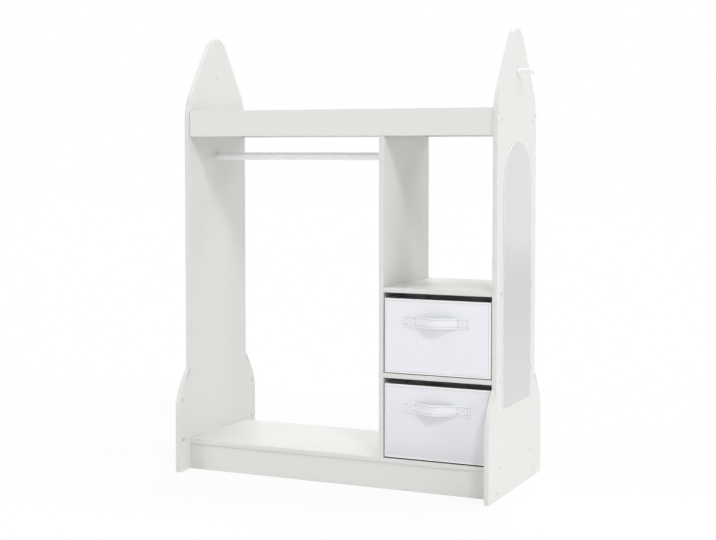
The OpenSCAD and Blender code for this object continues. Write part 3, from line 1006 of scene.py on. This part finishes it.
strapMake = {
    "length": 172 * mm,
    "width": 26 * mm,
    "thick": 3.4 * mm,
    "sewn": 33 * mm,
    "bow": 21 * mm,
    "tip": 0.45,  # how round the bow's middle is, as a share of half its length
    "sag": 0.3 * mm,
    "twist": 0.05,
    "wave": 0.5 * mm,
    "waveAlong": 30.0,
    "waveAcross": 45.0,
    "edgeRow": 4.4 * mm,
    "boxEnd": 6 * mm,
    "boxGap": 2 * mm,
    "boxBlend": 1 * mm,
    "rowFlat": 0.4 * mm,  # each row of stitches dents the strap, from its middle to its sides
    "rowSide": 1.5 * mm,
    "dent": 0.6 * mm,
    "underDent": 0.5 * mm,
    "edgeEase": 1.2 * mm,
    "stepsX": 173,
    "stepsY": 3,
    "stepsZ": 41,
}
stitchMake = {"pitch": 3.4 * mm, "length": 2.6 * mm, "radius": 0.45 * mm, "tilt": 0.06,
              "segments": 8, "rings": 6}
rowMake = {"seeds": {"handle": 7, "cover": 11, "rim": 13}, "sink": 0.35 * mm, "lift": 0.05 * mm,
           "edge": 1.1 * mm, "topDrop": 2 * mm, "rimRise": 1 * mm, "reach": 0.98, "steps": 86}


def sideStops(length, skip):
    # distances along one side of a bin, closer together by the bound edges
    near = [d - skip for d in binMake["edgeStops"] if d > skip - 1e-6]
    count = int((length - 2 * near[-1]) / binMake["step"])
    middle = [near[-1] + (length - 2 * near[-1]) * i / count for i in range(1, count)]
    return near + middle + [length - d for d in reversed(near)]


def binPath(low, high, inset, corner):
    # one turn round a bin: (place, outward direction, distance from the nearest upright edge)
    width, depth = high.x - low.x, high.y - low.y
    r = max(corner - inset, binMake["edgeEase"])
    walls = [((low.x, low.y), (1, 0), width), ((high.x, low.y), (0, 1), depth),
             ((high.x, high.y), (-1, 0), width), ((low.x, high.y), (0, -1), depth)]
    path = []
    for start, along, full in walls:
        start, along = Vector(start), Vector(along)
        out = Vector((along.y, -along.x))
        first = start - out * inset + along * (inset + r)
        length = full - 2 * inset - 2 * r
        whole = full - 2 * corner
        for d in sideStops(whole, corner):
            path.append((first + along * (d / whole * length), out, corner + min(d, whole - d)))
        middle = first + along * length - out * r
        for i in range(1, binMake["cornerSteps"]):
            angle = math.radians(90 * i / binMake["cornerSteps"])
            aslant = out * math.cos(angle) + along * math.sin(angle)
            path.append((middle + aslant * r, aslant, 0))
    return path


def runsAlong(points):
    # distances along a closed line of points, with the whole length last
    runs = [0]
    for here, there in zip(points, points[1:] + points[:1]):
        runs.append(runs[-1] + math.dist(here, there))
    return runs


def wrapped(low, high, stations, runs, bulge, closed=0):
    # a skin carried round a bin along stations of (inset, height), its quads laid out on the
    # flat cloth. runs are distances along the stations; bulge pushes a station's points out
    shape = bmesh.new()
    flat = shape.loops.layers.uv.new("clothPlace")
    corner = binMake["corner"]
    rings = [[shape.verts.new((*(place + out * bulge(k, place, out, edge)), z))
              for place, out, edge in binPath(low, high, inset, corner)]
             for k, (inset, z) in enumerate(stations)]
    bands = bandLoops(shape, rings + rings[:closed])
    turns = runsAlong([place for place, _, _ in binPath(low, high, 0, corner)])
    for band, start, stop in zip(bands, runs, runs[1:]):
        for face, left, right in zip(band, turns, turns[1:]):
            spots = ((left, start), (right, start), (right, stop), (left, stop))
            for loop, place in zip(face.loops, spots):
                loop[flat].uv = place
    return shape, flat, rings, bands


def rise(value, low, high):
    t = min(max((value - low) / (high - low), 0), 1)
    return t * t * (3 - 2 * t)


def uneven(place, z, scale, finer=1):
    return noise.noise(Vector((place.x * scale[0], place.y * scale[1], z * scale[2])) * finer)


def coverBulge(place, out, edge, z, low, high, wallFoot, handleZ):
    # how far a bin's outer skin stands out: bound edges, a groove inside them, then the swollen panel
    make = binMake
    top = high.z - make["rimHeight"]
    inward, width = min(edge, z - wallFoot), make["tapeWidth"]
    if inward < width - make["margin"] and top - z > make["margin"]:
        foot = make["tapeFoot"]
        return make["tapeProud"] * (foot + (1 - foot) * rise(inward, 0, make["tapeEase"]))
    size = high.x - low.x if abs(out.y) > 0.5 else high.y - low.y
    upright = math.sin(math.pi * min(max((z - wallFoot) / (top - wallFoot), 0), 1))
    level = math.sin(math.pi * min(edge / size, 1))
    fade = rise(min(inward, top - z), width, make["swellFrom"])
    swell = make["swell"] * max(level * upright, 0) ** make["swellPower"]
    crease = sum(depth * uneven(place, z, make["creaseScale"], finer) for depth, finer in make["creases"])
    bulge = (swell + crease) * fade - make["groove"] * (1 - rise(inward, width, width + make["grooveWidth"]))
    if out.y < -0.5:
        middle, reach = (low.x + high.x) / 2, (strapMake["length"] - strapMake["sewn"]) / 2
        for side in (-1, 1):
            spread = (abs(place.x - middle - side * reach), abs(z - handleZ))
            held = math.prod(1 - rise(away, *stops) for away, stops in zip(spread, make["strapHold"]))
            bulge = bulge * (1 - held) - make["strapDent"] * held
    return bulge


def binCover(name, low, high, wallFoot, handleZ, cloth):
    # one closed skin: bottom, outer walls with bound edges, rim, then the lining down inside
    make = binMake
    foot, top, wall, tuck = low.z, high.z - make["rimHeight"], make["wall"], make["plinthInset"]
    hem, floor, ease = top - make["hem"], wallFoot + make["layer"], make["edgeEase"]
    easeIn, easeUp = make["plinthEase"]
    under = [(tuck + easeIn, foot), (tuck, foot + easeUp), (tuck, wallFoot), (ease, wallFoot)]
    outer = [(0, wallFoot + ease)] + [(0, wallFoot + d) for d in sideStops(top - wallFoot, 0)[1:-4]]
    outer += [(0, top - make["rimSeam"] - make["seam"]), (0, top)]
    inner = [(wall / 2, top), (wall, top), (wall, hem)]
    inner += [(wall, floor + (hem - floor) * t) for t in make["liningStops"]]
    stations = under + outer + inner
    kinds = ["under"] * len(under) + ["outer"] * len(outer) + ["inner"] * len(inner)
    runs = [0]
    for (inset, z), (nextInset, nextZ) in zip(stations, stations[1:]):
        runs.append(runs[-1] + abs(nextZ - z) + abs(nextInset - inset))

    def bulge(k, place, out, edge):
        if kinds[k] != "outer":
            return 0
        return coverBulge(place, out, edge, stations[k][1], low, high, wallFoot, handleZ)

    shape, flat, rings, bands = wrapped(low, high, stations, runs, bulge)
    # the bottom's near-black cloth is painted shadow under the walls
    dress = {"outer": cloth, "tape": edgeTape, "inner": lining, "under": shadowBottomCloth, "seam": seamShadeCloth}
    slots = list(dress)
    edges = [edge for _, _, edge in binPath(low, high, 0, make["corner"])]
    for band, (_, z), kind in zip(bands, stations[1:], kinds[1:]):
        for i, face in enumerate(band):
            inward = min(max(edges[i], edges[(i + 1) % len(edges)]), z - wallFoot)
            # the seam band just inside the tape takes the darker cloth, as painted shade
            seamed = inward < make["tapeWidth"] + make["seam"] or z > top - make["margin"]
            bound = "tape" if inward < make["tapeWidth"] + make["margin"] else "seam" if seamed else "outer"
            face.material_index = slots.index(bound if kind == "outer" else kind)
    for ring, kind in ((rings[0], "under"), (rings[-1], "inner")):
        face = shape.faces.new(ring)
        face.material_index = slots.index(kind)
        for loop in face.loops:
            loop[flat].uv = loop.vert.co.xy
    return meshFrom(name, shape, dress.values())


def rimTape(name, low, high):
    # bias tape folded over the top of the walls, carried round
    profile = [(inset, high.z - drop) for inset, drop in binMake["rimProfile"]]

    def wave(k, place, out, edge):
        return binMake["wave"] * uneven(place, profile[k][1], binMake["waveScale"])

    shape = wrapped(low, high, profile, runsAlong(profile), wave, 1)[0]
    return meshFrom(name, shape, [edgeTape])


def stitchTree():
    web, given = growthTree("stitches", {**stitchMake, "seed": 0, "material": thread})
    rows = web.node("GeometryNodeMeshToCurve", {}, {0: given["Geometry"]})
    sockets = {"Curve": rows, "Length": given["pitch"]}
    spaced = web.node("GeometryNodeResampleCurve", {"mode": "LENGTH"}, sockets)
    sockets = {"Segments": given["segments"], "Rings": given["rings"], "Radius": 1.0}
    bead = web.node("GeometryNodeMeshUVSphere", {}, sockets)
    size = web.joined(given["length"] * 0.5, given["radius"], given["radius"])
    capsule = web.node("GeometryNodeTransform", {}, {"Geometry": bead, "Scale": size})
    rotation = aimed(web, "X", web.node("GeometryNodeInputTangent"))
    least, most = web.joined(*[0 - given["tilt"]] * 3), web.joined(*[given["tilt"]] * 3)
    sockets = {0: least, 1: most, "Seed": given["seed"]}
    tilt = web.node("FunctionNodeRandomValue", {"data_type": "FLOAT_VECTOR"}, sockets)
    return instanced(web, given, spaced, capsule, rotation, tilt)


def strapTree():
    values = {**strapMake, "place": (0.0, 0.0, 0.0), "material": fabric}
    web, given = growthTree("bowedStrap", values)
    length, width, sewn, edgeRow = given["length"], given["width"], given["sewn"], given["edgeRow"]
    size = web.joined(length, given["thick"], width)
    steps = {"Vertices " + axis: given["steps" + axis] for axis in "XYZ"}
    bar = web.node("GeometryNodeMeshCube", {}, {"Size": size, **steps})
    x, y, z = web.parts(web.node("GeometryNodeInputPosition"))
    fromMiddle = web.maths("MINIMUM", web.maths("ABSOLUTE", x / (length - sewn * 2) * 2), 1.0)
    tip = given["tip"]
    arch = 1 - (web.distance(fromMiddle, tip) - tip) / (web.maths("SQRT", tip * tip + 1.0) - tip)
    fromEdge = width * 0.5 - web.maths("ABSOLUTE", z)
    fromEnd = length * 0.5 - web.maths("ABSOLUTE", x)
    outside = web.maths("LESS_THAN", y, 0.0)
    row, nearEnd, farEnd = [
        web.near(value, centre, given["rowFlat"], given["rowSide"]) for value, centre in
        ((fromEdge, edgeRow), (fromEnd, given["boxEnd"]), (fromEnd, sewn - given["boxGap"]))]
    boxed = (1 - web.smooth(fromEnd, sewn - given["boxBlend"], sewn + given["boxBlend"])) * web.smooth(
        fromEdge, edgeRow - given["rowSide"], edgeRow)
    row = web.maths("MAXIMUM", row, web.maths("MAXIMUM", nearEnd, farEnd) * boxed)
    soft = 1 - web.smooth(fromEdge, 0.0, given["edgeEase"])
    wave = web.noise(web.joined(x * given["waveAlong"], z * given["waveAcross"], 0.0), 1.0) - 0.5
    press = outside * (row + soft) * given["dent"] - (1 - outside) * soft * given["underDent"]
    out = arch * given["bow"] + wave * given["wave"] * arch
    y = press - out + arch * z * given["twist"] - given["thick"] * 0.5
    moved = web.joined(0.0, y, 0 - arch * given["sag"])
    bent = web.node("GeometryNodeSetPosition", {}, {0: bar, "Offset": moved})
    flat = web.kept(bent, "clothPlace", web.joined(x, z, 0.0))
    placed = web.node("GeometryNodeTransform", {}, {"Geometry": flat, "Translation": given["place"]})
    return grownTree(web, given, placed)


stitches, strap = stitchTree(), strapTree()


def sewnRows(name, rows, kind):
    # thread along open rows of points
    mesh = bpy.data.meshes.new(name)
    edges, start = [], 0
    for row in rows:
        edges += [(start + i, start + i + 1) for i in range(len(row) - 1)]
        start += len(row)
    mesh.from_pydata([point for row in rows for point in row], edges, [])
    return grown(name, mesh, stitches, {"seed": rowMake["seeds"][kind]})


def strapArch(x):
    # the share of the full bow at a distance from the strap's middle, as the tree makes it
    tip = strapMake["tip"]
    fromMiddle = min(abs(x / (strapMake["length"] - 2 * strapMake["sewn"]) * 2), 1)
    return 1 - (math.hypot(fromMiddle, tip) - tip) / (math.hypot(1, tip) - tip)


def binHandle(name, low, high):
    make = strapMake
    middle, z, front = (low.x + high.x) / 2, (low.z + high.z) / 2, high.y
    band = grown(name, bpy.data.meshes.new(name + "Start"), strap, {"place": (middle, front, z)})
    near = make["length"] / 2 - make["boxEnd"]
    far = make["length"] / 2 - make["sewn"] + make["boxGap"]
    half = make["width"] / 2 - make["edgeRow"]
    y, steps = front - make["thick"] + rowMake["sink"], rowMake["steps"]
    rows = []
    for side in (-1, 1):
        height = side * half
        row = []
        for x in [make["length"] * (i / steps - 0.5) * rowMake["reach"] for i in range(steps + 1)]:
            arch = strapArch(x)
            out = arch * (make["bow"] - height * make["twist"])
            row.append((middle + x, y - out, z + height - arch * make["sag"]))
        rows.append(row)
        rows += [[(middle + side * a, y, z - half), (middle + side * a, y, z + half)] for a in (near, far)]
        for flip in (-half, half):
            rows.append([(middle + side * near, y - rowMake["sink"], z + flip),
                         (middle + side * far, y - rowMake["sink"], z - flip)])
    return together(name, [band, sewnRows(name + "Stitches", rows, "handle")])


def coverRows(low, high, wallFoot):
    # the stitching along the inner side of the bound edges, one row per wall
    inset, proud = binMake["tapeWidth"] - rowMake["edge"], binMake["tapeProud"] + rowMake["lift"]
    bottom, top = wallFoot + inset, high.z - binMake["tapeWidth"] - rowMake["topDrop"]
    left, right, front, back = low.x + inset, high.x - inset, low.y + inset, high.y - inset
    rows = [[(left, y, top), (left, y, bottom), (right, y, bottom), (right, y, top)]
            for y in (low.y - proud, high.y + proud)]
    rows += [[(x, front, top), (x, front, bottom), (x, back, bottom), (x, back, top)]
             for x in (low.x - proud, high.x + proud)]
    return rows


def rimRows(low, high):
    path = binPath(low, high, -binMake["tapeProud"] + rowMake["lift"], binMake["corner"])
    z = high.z - binMake["tapeWidth"] + rowMake["rimRise"]
    row = [(place.x, place.y, z) for place, _, _ in path]
    return [row + row[:1]]


def fabricBin(which, cloth):
    body, smooth = which + "_bin", binMake["smooth"]
    low, high = boxOf(body + "_cover")
    high.z = boxOf(body + "_rim_binding")[1].z
    strapLow, strapHigh = boxOf(body + "_handle")
    wallFoot = low.z + binMake["plinth"][which]
    cover = binCover(body + "_cover", low, high, wallFoot, (strapLow.z + strapHigh.z) / 2, cloth)
    rows = sewnRows(body + "CoverStitches", coverRows(low, high, wallFoot), "cover")
    keep(body + "_cover", together(body + "_cover", [cover, rows]), body, smooth["cover"])
    tape = rimTape(body + "_rim", low, high)
    rows = sewnRows(body + "RimStitches", rimRows(low, high), "rim")
    keep(body + "_rim_binding", together(body + "_rim", [tape, rows]), body, smooth["rim"])
    insertLow, insertHigh = boxOf(body + "_bottom_insert")
    insert = plate(rectangle(insertLow, insertHigh, "z"), "z", insertLow.z, insertHigh.z,
                   rounding=binMake["insertRound"])
    keep(body + "_bottom_insert", meshFrom(body + "_insert", insert, [lining]), body)
    handle = binHandle(body + "_handle", strapLow, strapHigh)
    keep(body + "_handle", handle, body, smooth["handle"])


fabricBin("upper", fabric)
fabricBin("lower", shadedFabric)
print("bins made")

# hidden pieces keep their own solids
for node, material in (("fin_cam_bolts", steel), ("fin_dowels", beech), ("rail_dowels", beech),
                       ("mirror_tape", foam), ("upper_bin_wall_boards", card),
                       ("lower_bin_wall_boards", card)):
    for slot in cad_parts[node].material_slots:
        slot.material = material

# the stage: a pale floor and plain light
floorMake = {
    "half": 16.0,
    "colour": (0.9, 0.9, 0.9),
    "glow": 0.85,
    # painted shade on the floor's glow, for glossy rays only, so only the mirror shows it: it darkens with
    # distance; metres where it deepens, then where it fades again, and how dark it is nearby and at its
    # darkest
    "dusk": ((0.8, 4.9), (4.9, 11.0)),
    "duskDepth": (0.05, 0.14),
}
ambient = 0.2
lampDistance = 4.0
# degrees round to the right of the front, degrees up, how much light the lamp adds, and
# degrees across as seen from the object
lamps = {
    "key": (42, 42.5, 0.247, 12),
    "frontLow": (-30, 20, 0.128, 20),
    "frontLeft": (-45, 45, 0.068, 20),
    "left": (-60, 60, 0.113, 20),
    "right": (70, 15, 0.128, 20),
    "sideRight": (90, 60, 0.157, 20),
    "backRight": (115, 30, 0.135, 20),
    "above": (180, 70, 0.265, 20),
    "backLeft": (-135, 40, 0.126, 90),
}


def seenDirectly(web):
    # camera, glossy and transmission rays
    path = [web.node("ShaderNodeLightPath", out=i) for i in (0, 3, 6)]
    return web.maths("MINIMUM", path[0] + path[1] + path[2], 1.0)


def floorSurface(web, values):
    x, y, _ = web.parts(web.place())
    away = web.distance(x, y)
    near, far = values["dusk"]
    least, most = values["duskDepth"]
    deepening = web.smooth(away, *near) * (most - least) + least
    # painted shade: glossy rays see the floor's glow darker with distance
    dusk = deepening * (1 - web.smooth(away, *far)) * web.node("ShaderNodeLightPath", out=3)
    tone = web.colours((1, 1, 1), (0, 0, 0), dusk)
    pale = web.node("ShaderNodeBsdfDiffuse", {}, {"Color": (*values["colour"], 1)})
    white = web.node("ShaderNodeEmission", {}, {"Color": tone, "Strength": 1.0})
    glow = seenDirectly(web) * values["glow"]
    return web.node("ShaderNodeMixShader", {}, {0: glow, 1: pale, 2: white})


def stageFloor():
    half = floorMake["half"]
    corners = [(-half, -half, 0), (half, -half, 0), (half, half, 0), (-half, half, 0)]
    mesh = bpy.data.meshes.new("floor")
    mesh.from_pydata(corners, [], [(0, 1, 2, 3)])
    mesh.materials.append(finish("floorPale", floorSurface, floorMake))
    floor = bpy.data.objects.new("floor", mesh)
    scene.collection.objects.link(floor)


def stageLight():
    world = bpy.data.worlds.new("studio")
    scene.world = world
    world.use_nodes = True
    web = Web(world.node_tree)
    soft, white = [web.node("ShaderNodeBackground", {}, {"Color": (1, 1, 1, 1), "Strength": strength})
                   for strength in (ambient, 1.0)]
    both = web.node("ShaderNodeMixShader", {}, {0: seenDirectly(web), 1: soft, 2: white})
    web.node("ShaderNodeOutputWorld", {}, {"Surface": both})
    for name, (around, up, level, softness) in lamps.items():
        turn, tilt = math.radians(around), math.radians(up)
        light = bpy.data.lights.new(name, "SUN")
        light.energy = level * math.pi
        light.angle = math.radians(softness)
        lamp = bpy.data.objects.new(name, light)
        way = Vector((math.sin(turn) * math.cos(tilt), -math.cos(turn) * math.cos(tilt), math.sin(tilt)))
        lamp.location = way * lampDistance
        lamp.rotation_euler = way.to_track_quat("Z", "Y").to_euler()
        scene.collection.objects.link(lamp)


stageFloor()
stageLight()
print("stage set")
